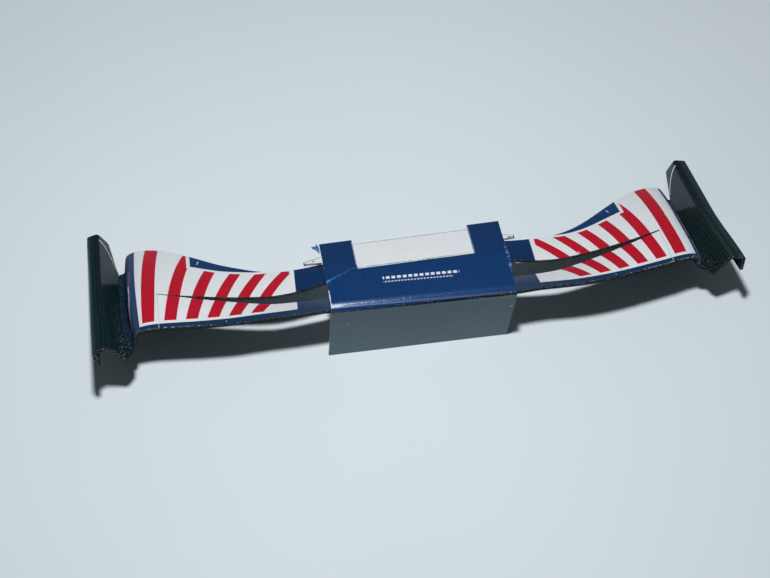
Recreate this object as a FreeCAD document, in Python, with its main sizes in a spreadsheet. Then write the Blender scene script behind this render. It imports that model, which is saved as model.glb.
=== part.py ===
import FreeCAD, Part
import math
import os
import Sketcher
from FreeCAD import Placement, Rotation, Vector

# Card model front wing of an open wheel racing car, scale 1:24, millimetres.
# +X is the right of the wing as seen from its front, +Y points to its rear and +Z up.
# The origin is on the table, at the middle of the front wall's bottom edge.
# The wing stands on that edge and on the rear ends of its endplates, nose up by "pitch".
# Points of the pitched pieces are given as run (rearward) and lift (upward) in the pitched frame.

DIMENSIONS = [
    ("card", 0.25, "thickness of one printed card"),
    ("glue_gap", 0.03, "glue line between two cards"),
    ("pitch", 22.0, "angle of the wing's chord to the table, degrees"),
    ("saddle_width", 21.2, "width of the centre saddle"),
    ("wall_height", 9.6, "height of the saddle's front wall"),
    ("fold_reach", 0.9, "how far the rounded front fold reaches along wall and top"),
    ("fold_skew", 0.6, "sideways skew of the front fold, as far back on the left as forward on the right"),
    ("notch_run", 2.9, "run of the notch's front edge"),
    ("tab_end_run", 8.65, "run of the tabs' rear edge"),
    ("tab_lift", 9.75, "lift of the tabs' upper face"),
    ("tab_width", 3.8, "width of one rear tab"),
    ("strip_tuck", 1.2, "how far the glue strip reaches under the saddle's top"),
    ("strip_short", 0.4, "how far the tabs reach past the strip"),
    ("strip_tip", 12.5, "half length of the strip to its tips"),
    ("strip_tip_run", 5.8, "run of the strip's tips"),
    ("strip_tip_width", 0.4, "width of the tips at their ends"),
    ("strip_tip_root", 1.15, "width of the tips beside the tabs"),
    ("strip_inset", 0.3, "how far the strip's sides stay inside the saddle's"),
    ("strip_side_run", 6.4, "run of the strip's rear edge beside the tabs"),
    ("strip_neck", 1.5, "how far inside the saddle's side the strip's rear edge steps back"),
    ("root_tuck", 1.2, "how far a wing reaches in under the saddle"),
    ("lead_root_run", -2.6, "run of the leading edge at the root"),
    ("lead_tip_run", -1.3, "run of the leading edge at the tip"),
    ("lead_root_lift", 8.1, "lift of the leading edge at the root"),
    ("lead_tip_lift", 8.4, "lift of the leading edge at the slit's end"),
    ("lead_turn_start", 20.0, "place where the leading edge starts to sweep back"),
    ("lead_turn_end", 33.85, "place where the leading edge ends its sweep"),
    ("lead_bow", 0.15, "how far the middle of the leading edge bows forward"),
    ("lead_skew", 0.3, "how much further forward it bows on the right than on average"),
    ("lead_bow_start", 13.0, "place where that bow starts"),
    ("lead_bow_full", 19.0, "place where that bow is full"),
    ("lead_bow_fall", 29.0, "place where that bow starts to fall off"),
    ("lead_bow_end", 33.0, "place where that bow ends"),
    ("trail_root_run", 5.75, "run of the trailing edge at the root"),
    ("trail_tip_run", 13.6, "run of the trailing edge at the tip"),
    ("trail_lift", 8.6, "lift of the trailing edge"),
    ("trail_turn_start", 16.0, "place where the trailing edge starts its S curve"),
    ("trail_turn_end", 32.0, "place where the trailing edge ends its S curve"),
    ("trail_skew", 0.3, "how far the outer trailing edge lies back on the left and forward on the right"),
    ("trail_skew_full", 22.0, "place from which it lies so"),
    ("slit_end", 29.6, "place of the slit's closed end"),
    ("slit_waist", 16.5, "place where the slit lies furthest forward"),
    ("slit_waist_run", 1.3, "run of the slit at its waist"),
    ("slit_end_run", 3.85, "run of the slit at its closed end"),
    ("slit_skew", 0.28, "how far the slit's end lies back on the left and forward on the right"),
    ("slit_kerf", 0.1, "width of the slit at its closed end"),
    ("slit_waist_lift", 8.5, "lift of the flap's front edge at the slit's waist"),
    ("slit_end_lift", 9.0, "lift of the sheet at the slit's closed end"),
    ("camber", 0.65, "camber of the whole chord at the slit's closed end"),
    ("slit_gap", 2.1, "drop from flap to main plane at the saddle's side"),
    ("gap_skew", 0.2, "how much deeper that drop is on the right than on average"),
    ("flap_rise", 0.3, "rise of the flap's root up to the strip"),
    ("flap_rise_start", 15.0, "place where the flap's root starts to rise"),
    ("shoulder", 4.4, "from the slit's closed end out to the fold between wing and endplate"),
    ("valley_lift", 6.2, "lift of that fold"),
    ("endplate_card", 0.4, "thickness of the endplate's two cards together"),
    ("endplate_front_run", -3.9, "run of the endplate's front end at its outer edge"),
    ("endplate_rear_run", 18.3, "run of the endplate's rear end"),
    ("endplate_lift", 8.72, "lift of the endplate's shelf"),
    ("endplate_top_out", 1.85, "how far the shelf's inner fold stands outside the valley"),
    ("endplate_skew", 0.6, "how far the left endplate's front end is forward and the right one's back"),
    ("shelf_width", 1.35, "width of the endplate's shelf"),
    ("shelf_front_back", 0.65, "how far the shelf's front edge runs back to its inner fold"),
    ("shelf_rear_back", 0.5, "how far the shelf's rear edge runs forward to its outer edge"),
    ("plate_front_back", 0.6, "how far the inner plate's front edge runs back to the valley"),
    ("lip_drop", 1.85, "height of the endplate's outer lip"),
    ("lip_in", 0.15, "how far the lip's lower edge leans in"),
    ("flange_in", 0.96, "how far the glue flange reaches in from the valley"),
    ("flange_rise", 1.15, "how far the glue flange rises from the valley"),
    ("flange_back", 0.45, "how far the flange's front edge runs back to its top"),
    ("splay", 1.6, "toe-out of the endplates to the rear, degrees"),
    ("rear_slant", 0.3, "how far the plate's rear end runs forward to its lower corner"),
    ("rear_cut", 5.2, "length of the endplate's raised rear underside"),
    ("rear_knee", 2.4, "length of the steeper part of that underside"),
    ("rear_knee_rise", 0.6, "rise of the underside where the steeper part starts"),
    ("overrun", 2.0, "how far a cutting shape reaches past what it cuts"),
]

doc = FreeCAD.newDocument("card_front_wing")
sheet = doc.addObject("Spreadsheet::Sheet", "Sizes")
for row, (alias, value, note) in enumerate(DIMENSIONS, start=1):
    sheet.set("A%d" % row, note)
    sheet.set("B%d" % row, str(value))
    sheet.setAlias("B%d" % row, alias)
doc.recompute()


def size(alias):
    return float(getattr(sheet, alias))


pitch = math.radians(size("pitch"))
PITCHED = Placement(Vector(0, 0, 0), Rotation(Vector(1, 0, 0), -size("pitch")))


def smooth_step(place, start, end):
    share = min(max((place - start) / (end - start), 0.0), 1.0)
    return share * share * (3.0 - 2.0 * share)


def span_share(place):
    # Nought at the saddle's side, one from the slit's closed end outward.
    half_width = size("saddle_width") / 2
    return min(max((place - half_width) / (size("slit_end") - half_width), 0.0), 1.0)


def leading_edge(place, side):
    turn = smooth_step(place, size("lead_turn_start"), size("lead_turn_end"))
    run = size("lead_root_run") + turn * (size("lead_tip_run") - size("lead_root_run"))
    skew = -side * size("fold_skew") * (1 - span_share(place))
    bow_share = smooth_step(place, size("lead_bow_start"), size("lead_bow_full"))
    bow_share -= smooth_step(place, size("lead_bow_fall"), size("lead_bow_end"))
    skew -= (size("lead_bow") + side * size("lead_skew")) * bow_share
    lift = size("lead_root_lift") + span_share(place) * (size("lead_tip_lift") - size("lead_root_lift"))
    return Vector(place, run + skew, lift)


def trailing_edge(place, side):
    turn = smooth_step(place, size("trail_turn_start"), size("trail_turn_end"))
    run = size("trail_root_run") + turn * (size("trail_tip_run") - size("trail_root_run"))
    run -= side * size("trail_skew") * smooth_step(place, size("trail_turn_start"), size("trail_skew_full"))
    return Vector(place, run, size("trail_lift"))


# Powers by which the slit bends away from its waist and the gap closes toward its end.
SLIT_POWER = 1.5
GAP_POWER = 1.5
GAP_POWER_SKEW = 0.3


def slit_line(place, side):
    bend = abs((place - size("slit_waist")) / (size("slit_end") - size("slit_waist"))) ** SLIT_POWER
    run = size("slit_waist_run") + bend * (size("slit_end_run") - size("slit_waist_run"))
    run -= side * size("slit_skew") * span_share(place)
    lift = size("slit_waist_lift") + bend * (size("slit_end_lift") - size("slit_waist_lift"))
    return Vector(place, run, lift)


def flap_front(place, side):
    return slit_line(place, side) + Vector(0, size("slit_kerf") / 2, 0)


def main_rear(place, side):
    power = GAP_POWER - side * GAP_POWER_SKEW
    drop = (size("slit_gap") + side * size("gap_skew")) * (1 - span_share(place)) ** power
    return slit_line(place, side) - Vector(0, size("slit_kerf") / 2, drop)


def flap_root_rise(place):
    start = size("flap_rise_start")
    end = size("saddle_width") / 2
    share = min(max((start - place) / (start - end), 0.0), 1.0)
    return Vector(0, 0, size("flap_rise") * share * share)


def arched(first, last, sagitta, across):
    if sagitta is None:
        return Part.makeLine(first, last)
    middle = (first + last) * 0.5 + across * (2 * sagitta)
    curve = Part.BezierCurve()
    curve.setPoles([first, middle, last])
    return curve.toShape()


def strip_wire(chords, across, thickness):
    down = across * -thickness
    upper = [arched(first, last, sagitta, across) for first, last, sagitta in chords]
    lower = [arched(first + down, last + down, sagitta, across) for first, last, sagitta in reversed(chords)]
    start = chords[0][0]
    end = chords[-1][1]
    edges = upper + [Part.makeLine(end, end + down)] + lower + [Part.makeLine(start + down, start)]
    return Part.Wire(Part.__sortEdges__(edges))


def camber_of(first, last):
    # The sheet bends to one radius along its chord, so its camber goes with the chord squared.
    chord = size("trail_tip_run") - size("lead_tip_run")
    return size("camber") * ((last.y - first.y) / chord) ** 2


INBOARD_STATIONS = 7
SHOULDER_STATIONS = 15

# Shares of the shoulder's width and drop toward which its roll and its valley curve are drawn.
ROLL_SHARES = (1.25, 0.0)
VALLEY_SHARES = (0.43, 0.95)


def inboard_places():
    start = size("saddle_width") / 2 - size("root_tuck")
    step = (size("slit_end") - start) / (INBOARD_STATIONS - 1)
    return [start + step * i for i in range(INBOARD_STATIONS)]


def inboard_lofts(side, sink, thickness):
    # Main plane and flap from the saddle out to the slit's closed end.
    up = Vector(0, 0, 1)
    main = []
    flap = []
    for place in inboard_places():
        front = leading_edge(place, side) + sink
        rear = main_rear(place, side) + sink
        main.append(strip_wire([(front, rear, camber_of(front, rear))], up, thickness))
        lifted = sink + flap_root_rise(place)
        first = flap_front(place, side) + lifted
        last = trailing_edge(place, side) + lifted
        flap.append(strip_wire([(first, last, camber_of(first, last))], up, thickness))
    return [Part.makeLoft(main, True, False), Part.makeLoft(flap, True, False)]


def shoulder_station(along_share):
    # Shares of the shoulder's width and drop at one station, and the way the sheet heads there.
    left_share = 1 - along_share
    near = 3 * left_share * left_share * along_share
    far = 3 * left_share * along_share * along_share
    place = []
    heading = []
    for roll, valley in zip(ROLL_SHARES, VALLEY_SHARES):
        place.append(near * roll + far * valley + along_share ** 3)
        heading.append(
            left_share ** 2 * roll
            + 2 * left_share * along_share * (valley - roll)
            + along_share ** 2 * (1 - valley))
    return place, heading


def shoulder_loft(side, above, thickness):
    # The whole chord from the slit's closed end over the shoulder and down into the valley.
    start = size("slit_end")
    width = size("shoulder") - size("glue_gap")
    level = size("lead_tip_lift")
    drop = level - size("valley_lift")
    slit = (main_rear(start, side), flap_front(start, side))
    wires = []
    for i in range(SHOULDER_STATIONS):
        along_share = i / (SHOULDER_STATIONS - 1)
        camber_share = 1 - along_share
        (width_share, drop_share), heading = shoulder_station(along_share)
        across = Vector(drop * heading[1], 0, width * heading[0]).normalize()
        place = start + width * width_share
        points = []
        for point in (leading_edge(place, side), *slit, trailing_edge(place, side)):
            out = width_share * point.y * math.tan(math.radians(size("splay")))
            foot = Vector(place + out, point.y, level - drop * drop_share)
            points.append(foot + across * ((point.z - level) * camber_share - above))
        lead, main_end, flap_start, trail = points
        chords = [
            (lead, main_end, camber_of(lead, main_end) * camber_share),
            (main_end, flap_start, None),
            (flap_start, trail, camber_of(flap_start, trail) * camber_share),
        ]
        wires.append(strip_wire(chords, across, thickness))
    return Part.makeLoft(wires, True, True)


def wing_sheet(side, above, thickness):
    # One sheet of the wing: "above" is the depth of its upper face under the printed face.
    inboard = inboard_lofts(side, Vector(0, 0, -above), thickness)
    sheet_shape = shoulder_loft(side, above, thickness).fuse(inboard).removeSplitter()
    if side < 0:
        sheet_shape = sheet_shape.mirror(Vector(0, 0, 0), Vector(1, 0, 0))
    return sheet_shape


def feature(name, shape, placement=None):
    piece = doc.addObject("Part::Feature", name)
    piece.Label = name
    piece.Shape = shape
    if placement is not None:
        piece.Placement = placement
    return piece


def origin_plane(body, role):
    return next(item for item in body.Origin.OriginFeatures if item.Role == role)


def outline_sketch(body, name, role, corners, offset=0.0):
    # A closed outline whose corners are pairs of expressions of the sheet's sizes.
    sketch = body.newObject("Sketcher::SketchObject", name)
    sketch.AttachmentSupport = [(origin_plane(body, role), "")]
    sketch.MapMode = "FlatFace"
    sketch.AttachmentOffset = Placement(Vector(0, 0, offset), Rotation())
    values = [tuple(float(sheet.evalExpression(text)) for text in corner) for corner in corners]
    count = len(values)
    for i in range(count):
        start = Vector(values[i][0], values[i][1], 0)
        end = Vector(values[(i + 1) % count][0], values[(i + 1) % count][1], 0)
        sketch.addGeometry(Part.LineSegment(start, end), False)
    for i in range(count):
        sketch.addConstraint(Sketcher.Constraint("Coincident", i, 2, (i + 1) % count, 1))
    for i, corner in enumerate(corners):
        for kind, text, value in zip(("DistanceX", "DistanceY"), corner, values[i]):
            index = sketch.addConstraint(Sketcher.Constraint(kind, -1, 1, i, 1, value))
            sketch.setExpression("Constraints[%d]" % index, text)
    return sketch


def named(text):
    # Puts the sheet's name before each alias of an expression.
    for alias, value, note in sorted(DIMENSIONS, key=lambda entry: -len(entry[0])):
        text = text.replace("{%s}" % alias, "Sizes.%s" % alias)
    return text


def rest_corner(run, lift):
    # Y and Z on the table of a point given by run and lift.
    angle = "{pitch} * 1deg"
    y = "(%s) * cos(%s) + (%s) * sin(%s)" % (run, angle, lift, angle)
    z = "(%s) * cos(%s) - (%s) * sin(%s)" % (lift, angle, run, angle)
    return named(y), named(z)


def saddle_profile(side):
    fold = "%d * {fold_skew}" % -side
    notch = rest_corner("{notch_run}", "{tab_lift}")
    notch_under = rest_corner("{notch_run}", "{tab_lift} - {card}")
    outer = (named(fold + " - {card} / 2"), named("{wall_height}"))
    inner = (named(fold + " + {card} / 2"), named("{wall_height} - {card}"))
    corners = [(named("-{card} / 2"), named("0"))]
    corners += rounded_fold(outer, notch, named("{fold_reach}"))
    corners += [
        notch,
        rest_corner("{tab_end_run}", "{tab_lift}"),
        rest_corner("{tab_end_run}", "{tab_lift} - {card}"),
        notch_under,
    ]
    corners += reversed(rounded_fold(inner, notch_under, named("({fold_reach} - {card})")))
    corners.append((named("{card} / 2"), named("0")))
    return corners


def rounded_fold(corner, along, reach):
    # Four points of the round fold whose straight sides would meet at the corner.
    share = "(%s / ((%s) - (%s)))" % (reach, along[0], corner[0])
    below = (corner[0], "%s - %s" % (corner[1], reach))
    beyond = tuple("(%s) + ((%s) - (%s)) * %s" % (corner[i], along[i], corner[i], share) for i in (0, 1))
    points = [below]
    for near_share, far_share in ((4 / 9, 1 / 9), (1 / 9, 4 / 9)):
        points.append(tuple("(%s) * %r + (%s) * %r + (%s) * %r" % (
            below[i], near_share, corner[i], 4 / 9, beyond[i], far_share) for i in (0, 1)))
    points.append(beyond)
    return points


def make_saddle():
    # One folded card: front wall, top and two rear tabs beside a notch.
    body = doc.addObject("PartDesign::Body", "centre_saddle")
    body.Label = "centre_saddle"
    sections = []
    for side, word in ((-1, "left"), (1, "right")):
        section = outline_sketch(body, "saddle_%s_profile" % word, "YZ_Plane", saddle_profile(side))
        section.setExpression("AttachmentOffset.Base.z", named("%d * {saddle_width} / 2" % side))
        sections.append(section)
    doc.recompute()
    shell = body.newObject("PartDesign::AdditiveLoft", "saddle_card")
    shell.Profile = sections[0]
    shell.Sections = [sections[1]]
    shell.Ruled = True
    doc.recompute()
    notch_y = rest_corner("{notch_run}", "{tab_lift}")[0]
    end_y = rest_corner("{tab_end_run}", "{tab_lift}")[0] + named(" + {overrun}")
    half = "({saddle_width} / 2 - {tab_width})"
    corners = [
        (named("-1 * " + half), notch_y),
        (named(half), notch_y),
        (named(half), end_y),
        (named("-1 * " + half), end_y),
    ]
    outline = outline_sketch(body, "notch_outline", "XY_Plane", corners)
    doc.recompute()
    notch = body.newObject("PartDesign::Pocket", "notch")
    notch.Profile = outline
    notch.Type = "ThroughAll"
    notch.Reversed = True
    doc.recompute()
    return body


def make_strip():
    # White unprinted strip under the tabs, on which the nose is glued.
    body = doc.addObject("PartDesign::Body", "glue_strip")
    body.Label = "glue_strip"
    front = "({notch_run} - {strip_tuck})"
    rear = "({tab_end_run} - {strip_short})"
    side = "({saddle_width} / 2)"
    right = [
        ("(%s - {strip_inset})" % side, front),
        ("(%s - {strip_inset})" % side, "({strip_side_run} - {strip_tip_root})"),
        ("{strip_tip}", "({strip_tip_run} - {strip_tip_width})"),
        ("{strip_tip}", "{strip_tip_run}"),
        (side, "{strip_side_run}"),
        ("(%s - {strip_neck})" % side, rear),
    ]
    left = [("-1 * %s" % x, y) for x, y in reversed(right)]
    corners = [(named(x), named(y)) for x, y in right + left]
    outline = outline_sketch(body, "strip_outline", "XY_Plane", corners)
    outline.setExpression("AttachmentOffset.Base.z", named("{tab_lift} - 2 * {card} - {glue_gap}"))
    doc.recompute()
    pad = body.newObject("PartDesign::Pad", "strip_card")
    pad.Profile = outline
    pad.setExpression("Length", named("{card}"))
    body.Placement = PITCHED
    doc.recompute()
    return body


def plate_corner(x, lift):
    return x, "({valley_lift} + %s)" % lift


def endplate_section():
    # Inner plate, shelf and lip as seen from behind, right-hand side, with the valley at nought.
    width = "{endplate_top_out}"
    height = "({endplate_lift} - {valley_lift})"
    slant = "sqrt(%s^2 + %s^2)" % (width, height)
    outer = "(%s + {shelf_width})" % width
    return [
        plate_corner("0", "0"),
        plate_corner(width, height),
        plate_corner(outer, height),
        plate_corner("(%s - {lip_in})" % outer, "%s - {lip_drop}" % height),
        plate_corner("(%s - {lip_in} - {endplate_card})" % outer, "%s - {lip_drop}" % height),
        plate_corner("(%s - {endplate_card})" % outer, "%s - {endplate_card}" % height),
        plate_corner(
            "(%s + {endplate_card} * (%s - %s) / %s)" % (width, slant, width, height),
            "%s - {endplate_card}" % height),
        plate_corner("({endplate_card} * %s / %s)" % (height, slant), "-{endplate_card} * %s / %s" % (width, slant)),
        plate_corner("0", "-{endplate_card}"),
    ]


def flange_section():
    # Glue flange that rises inboard from the valley, ahead of the wing.
    slant = "sqrt({flange_in}^2 + {flange_rise}^2)"
    return [
        plate_corner("0", "0"),
        plate_corner("0", "-{endplate_card}"),
        plate_corner("(-{card} * {flange_rise} / %s)" % slant, "-{card} * {flange_in} / %s" % slant),
        plate_corner(
            "(-{flange_in} - {card} * {flange_rise} / %s)" % slant,
            "{flange_rise} - {card} * {flange_in} / %s" % slant),
        plate_corner("(-{flange_in})", "{flange_rise}"),
    ]


def endplate_front(side):
    return "({endplate_front_run} + %d * {endplate_skew})" % side


def front_outline(side):
    # What is cut from the front end, seen from above, right-hand side.
    front = endplate_front(side)
    fold = "(%s + {shelf_front_back})" % front
    valley = "(%s + {plate_front_back})" % fold
    flange = "(%s + {flange_back})" % valley
    outer = "({endplate_top_out} + {shelf_width})"
    return [
        (outer, front),
        ("{endplate_top_out}", fold),
        ("0", valley),
        ("(-{flange_in})", flange),
        ("(-{flange_in} - {overrun})", flange),
        ("(-{flange_in} - {overrun})", "(%s - {overrun})" % front),
        (outer, "(%s - {overrun})" % front),
    ]


def rear_outline():
    # What is cut from the rear end, seen from the side, so that the plate's lower corner is on the table.
    end = "{endplate_rear_run}"
    foot = "({endplate_rear_run} - {rear_slant})"
    foot_lift = "%s * cos({splay} * 1deg) * tan({pitch} * 1deg)" % foot
    return [
        ("(%s - {rear_cut})" % end, "({valley_lift} - {overrun})"),
        ("(%s - {rear_cut})" % end, "{valley_lift}"),
        ("(%s - {rear_knee})" % end, "({valley_lift} + {rear_knee_rise})"),
        (foot, foot_lift),
        (end, "{endplate_lift}"),
        ("(%s + {overrun})" % end, "{endplate_lift}"),
        ("(%s + {overrun})" % end, "({valley_lift} - {overrun})"),
    ]


def shelf_outline():
    # What is cut from the shelf's rear end, seen from above, right-hand side.
    end = "{endplate_rear_run}"
    outer = "({endplate_top_out} + {shelf_width})"
    return [
        ("{endplate_top_out}", end),
        (outer, "(%s - {shelf_rear_back})" % end),
        ("(%s + {overrun})" % outer, "(%s - {shelf_rear_back})" % end),
        ("(%s + {overrun})" % outer, "(%s + {overrun})" % end),
        ("{endplate_top_out}", "(%s + {overrun})" % end),
    ]


def add_plate(body, name, section, side, end):
    corners = [(named("%d * %s" % (side, x)), named(z)) for x, z in section]
    outline = outline_sketch(body, name + "_section", "XZ_Plane", corners)
    outline.setExpression("AttachmentOffset.Base.z", named("-1 * " + endplate_front(side)))
    doc.recompute()
    pad = body.newObject("PartDesign::Pad", name)
    pad.Profile = outline
    pad.setExpression("Length", named("%s - %s" % (end, endplate_front(side))))
    pad.Reversed = True
    doc.recompute()


def trim_plate(body, name, plane, corners):
    outline = outline_sketch(body, name + "_outline", plane, [(named(x), named(y)) for x, y in corners])
    doc.recompute()
    trim = body.newObject("PartDesign::Pocket", name)
    trim.Profile = outline
    trim.Type = "ThroughAll"
    trim.SideType = "Symmetric"
    doc.recompute()


def make_endplate(side, name):
    # A folded channel: glue flange, leaning inner plate, narrow shelf and outer lip.
    body = doc.addObject("PartDesign::Body", name)
    body.Label = name
    add_plate(body, name + "_channel", endplate_section(), side, "{endplate_rear_run}")
    add_plate(body, name + "_flange", flange_section(), side, "{lead_tip_run} - {glue_gap}")
    for word, corners in (("front", front_outline(side)), ("shelf", shelf_outline())):
        turned = [("%d * %s" % (side, x), y) for x, y in corners]
        trim_plate(body, "%s_%s_trim" % (name, word), "XY_Plane", turned)
    trim_plate(body, name + "_rear_trim", "YZ_Plane", rear_outline())
    valley = Vector(side * (size("slit_end") + size("shoulder")), 0, 0)
    turn = Placement(valley, Rotation(Vector(0, 0, 1), -side * size("splay")))
    body.Placement = PITCHED.multiply(turn)
    doc.recompute()
    return body


def make_wing(side, word):
    # Printed upper sheet and black under sheet, glued back to back.
    gap = size("card") + size("glue_gap")
    wall = Part.makeBox(
        size("saddle_width") + 2 * size("glue_gap"),
        size("overrun") + size("card") / 2 + size("fold_skew") + size("glue_gap"),
        size("wall_height") + size("overrun"),
        Vector(-size("saddle_width") / 2 - size("glue_gap"), -size("overrun"), 0),
    )
    wall.Placement = PITCHED.inverse().multiply(wall.Placement)
    pieces = []
    for name, depth in (("wing_upper_" + word, 0.0), ("wing_under_" + word, gap)):
        shape = wing_sheet(side, depth, size("card")).cut(wall)
        pieces.append(feature(name, shape, PITCHED))
    return pieces


PIECES = [make_saddle(), make_strip()]
for side, word in ((-1, "left"), (1, "right")):
    PIECES += make_wing(side, word)
    PIECES.append(make_endplate(side, "endplate_" + word))

doc.recompute()
for item in doc.Objects:
    if "Invalid" in item.State or "Error" in item.State:
        raise RuntimeError("%s did not build" % item.Label)
for piece in PIECES:
    if piece.Shape.isNull() or not piece.Shape.isValid():
        raise RuntimeError("%s has no valid shape" % piece.Label)

os.makedirs("parts", exist_ok=True)
for piece in PIECES:
    piece.Shape.exportStep("parts/%s.step" % piece.Label)
    box = piece.Shape.BoundBox
    print("%-20s volume %.2f solids %d x %.2f %.2f y %.2f %.2f z %.2f %.2f" % (
        piece.Label, piece.Shape.Volume, len(piece.Shape.Solids),
        box.XMin, box.XMax, box.YMin, box.YMax, box.ZMin, box.ZMax))
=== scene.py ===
import math
import bmesh
import bpy
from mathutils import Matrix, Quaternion, Vector, noise


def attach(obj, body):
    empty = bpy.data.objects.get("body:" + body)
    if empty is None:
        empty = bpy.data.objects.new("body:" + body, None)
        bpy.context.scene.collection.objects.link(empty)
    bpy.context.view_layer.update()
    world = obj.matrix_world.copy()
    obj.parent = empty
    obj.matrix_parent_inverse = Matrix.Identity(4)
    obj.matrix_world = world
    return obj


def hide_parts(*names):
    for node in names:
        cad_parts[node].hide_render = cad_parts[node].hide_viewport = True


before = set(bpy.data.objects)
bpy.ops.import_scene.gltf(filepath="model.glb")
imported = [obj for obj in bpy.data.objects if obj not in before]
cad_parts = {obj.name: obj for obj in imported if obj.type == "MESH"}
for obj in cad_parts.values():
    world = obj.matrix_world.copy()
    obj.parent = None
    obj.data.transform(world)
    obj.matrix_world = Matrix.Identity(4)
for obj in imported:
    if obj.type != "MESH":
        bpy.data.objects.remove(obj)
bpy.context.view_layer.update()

# Sizes in millimetres, the same as in the part's source. A wing's or endplate's points are given as
# place (outward), run (rearward) and lift (upward) in the pitched frame. side is -1 left, 1 right.
MM = 0.001
CARD = 0.25
GLUE = 0.03
PITCH = math.radians(22)
SPLAY = math.radians(1.6)
HALF = 10.6
WALL = 9.6
FOLD_REACH = 0.9
FOLD_SKEW = 0.6
NOTCH_RUN = 2.9
TAB_END = 8.65
TAB_LIFT = 9.75
TAB_WIDTH = 3.8
ROOT = 9.4
LEAD_ROOT_RUN = -2.6
LEAD_SWEEP = 1.3
LEAD_TURN = (20.0, 33.85)
LEAD_ROOT_LIFT = 8.1
LEAD_BOW = 0.15
LEAD_SKEW = 0.3
LEAD_BOW_RISE = (13.0, 19.0)
LEAD_BOW_FALL = (29.0, 33.0)
TRAIL_ROOT_RUN = 5.75
TRAIL_SWEEP = 7.85
TRAIL_TURN = (16.0, 32.0)
TRAIL_LIFT = 8.6
TRAIL_SKEW = 0.3
TRAIL_SKEW_RISE = (16.0, 22.0)
SLIT_END = 29.6
SLIT_WAIST = 16.5
SLIT_WAIST_RUN = 1.3
SLIT_SWEEP = 2.55
SLIT_SKEW = 0.28
SLIT_WAIST_LIFT = 8.5
SLIT_RISE = 0.5
HALF_KERF = 0.05
SLIT_GAP = 2.1
GAP_SKEW = 0.2
SLIT_POWER = 1.5
GAP_POWER_SKEW = 0.3
FLAP_RISE = 0.3
FLAP_RISE_START = 15.0
CAMBER = 0.65
TIP_CHORD = 14.9
SHOULDER = 4.4
VALLEY = 34.0
VALLEY_LIFT = 6.2
LEVEL = 8.4
PLATE_CARD = 0.4
PLATE_FRONT = -3.9
PLATE_SKEW = 0.6
PLATE_REAR = 18.3
SHELF_IN = 1.85
SHELF_OUT = 3.2
SHELF_FRONT_BACK = 0.65
SHELF_REAR_BACK = 0.5
PLATE_FRONT_BACK = 0.6
FLANGE_FRONT_BACK = 1.25
FLANGE_BACK = 0.45
FLANGE_IN = 0.96

# How the hand-folded ends have settled: the front of the right shoulder is spread and sags at its
# fold, and the front of the left endplate leans in.
SETTLED_RUNS = (-4.0, 7.0)
SPREAD, SPREAD_RISE = 0.6, (30.5, 33.2)
SAG, SAG_PLACE, SAG_HALF = 0.35, 34.7, 1.3
LEAN, LEAN_RISE, LEAN_FALL = 0.5, (31.0, 34.0), (35.0, 37.2)


def rest(x, run, lift):
    """A point of the pitched frame as the wing stands."""
    y = run * math.cos(PITCH) + lift * math.sin(PITCH)
    return Vector((x, y, lift * math.cos(PITCH) - run * math.sin(PITCH)))


def share_of(value, start, end):
    return min(max((value - start) / (end - start), 0.0), 1.0)


def smooth(value, start, end):
    t = share_of(value, start, end)
    return t * t * (3 - 2 * t)


def swell(value, rise, fall):
    return smooth(value, *rise) * (1 - smooth(value, *fall))


def settled(side, x, run, lift):
    """A wing or endplate point, with the bends that the hand-folded ends have taken."""
    front = 1 - smooth(run, *SETTLED_RUNS)
    if side > 0:
        x += SPREAD * front * smooth(x, *SPREAD_RISE)
        lift -= SAG * front * max(1 - abs(x - SAG_PLACE) / SAG_HALF, 0.0)
    else:
        x -= LEAN * front * smooth(x, *LEAN_RISE) * (1 - share_of(x, *LEAN_FALL))
    return rest(side * x, run, lift)


def wobble(a, b, c=0.0):
    return noise.noise(Vector((a, b, c)))


# Card solids.

def card_solid(name, top, bottom, plan, extra, quads, materials):
    """A closed sheet from matching upper and lower points; its cut edges take the third material."""
    count = len(top)
    bm = bmesh.new()
    verts = [bm.verts.new(p * MM) for p in top + bottom]
    edges = {}
    for quad in quads:
        face = bm.faces.new([verts[i] for i in quad])
        face.smooth = True
        under = bm.faces.new([verts[i + count] for i in reversed(quad)])
        under.smooth = True
        under.material_index = 1
        for a, b in zip(quad, quad[1:] + quad[:1]):
            edges[(a, b)] = edges.get((a, b), 0) + 1
    for a, b in edges:
        if (b, a) not in edges:
            wall = bm.faces.new([verts[b], verts[a], verts[a + count], verts[b + count]])
            wall.material_index = 2
            for edge in wall.edges:
                edge.smooth = False
    bm.verts.index_update()
    bmesh.ops.recalc_face_normals(bm, faces=bm.faces)
    mesh = bpy.data.meshes.new(name)
    bm.to_mesh(mesh)
    bm.free()
    for label, values, depth in (("plan", plan, CARD), ("edges", extra, 0.0)):
        layer = mesh.attributes.new(label, "FLOAT_VECTOR", "POINT")
        flat = [part for v in values for part in v]
        flat += [part for v in values for part in (v[0], v[1], v[2] + depth)]
        layer.data.foreach_set("vector", flat)
    for material in materials:
        mesh.materials.append(material)
    piece = bpy.data.objects.new(name, mesh)
    bpy.context.scene.collection.objects.link(piece)
    return piece


# Wing sheets.

ROOT_STEP = (HALF + 0.03, HALF + 0.04)
ROOT_STEP_MIDDLE = HALF + 0.035
ROOT_FRONT = 0.77
TRAIL_BULGE, TRAIL_BULGE_RISE, TRAIL_BULGE_FALL = 0.32, (13.5, 17.0), (19.0, 23.0)
ROLL_SHARES, VALLEY_SHARES = (1.25, 0.43), (0.0, 0.95)
SPAN_STEPS, ROLL_STEPS, MAIN_ROWS, FLAP_ROWS = 96, 44, 14, 28

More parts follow.
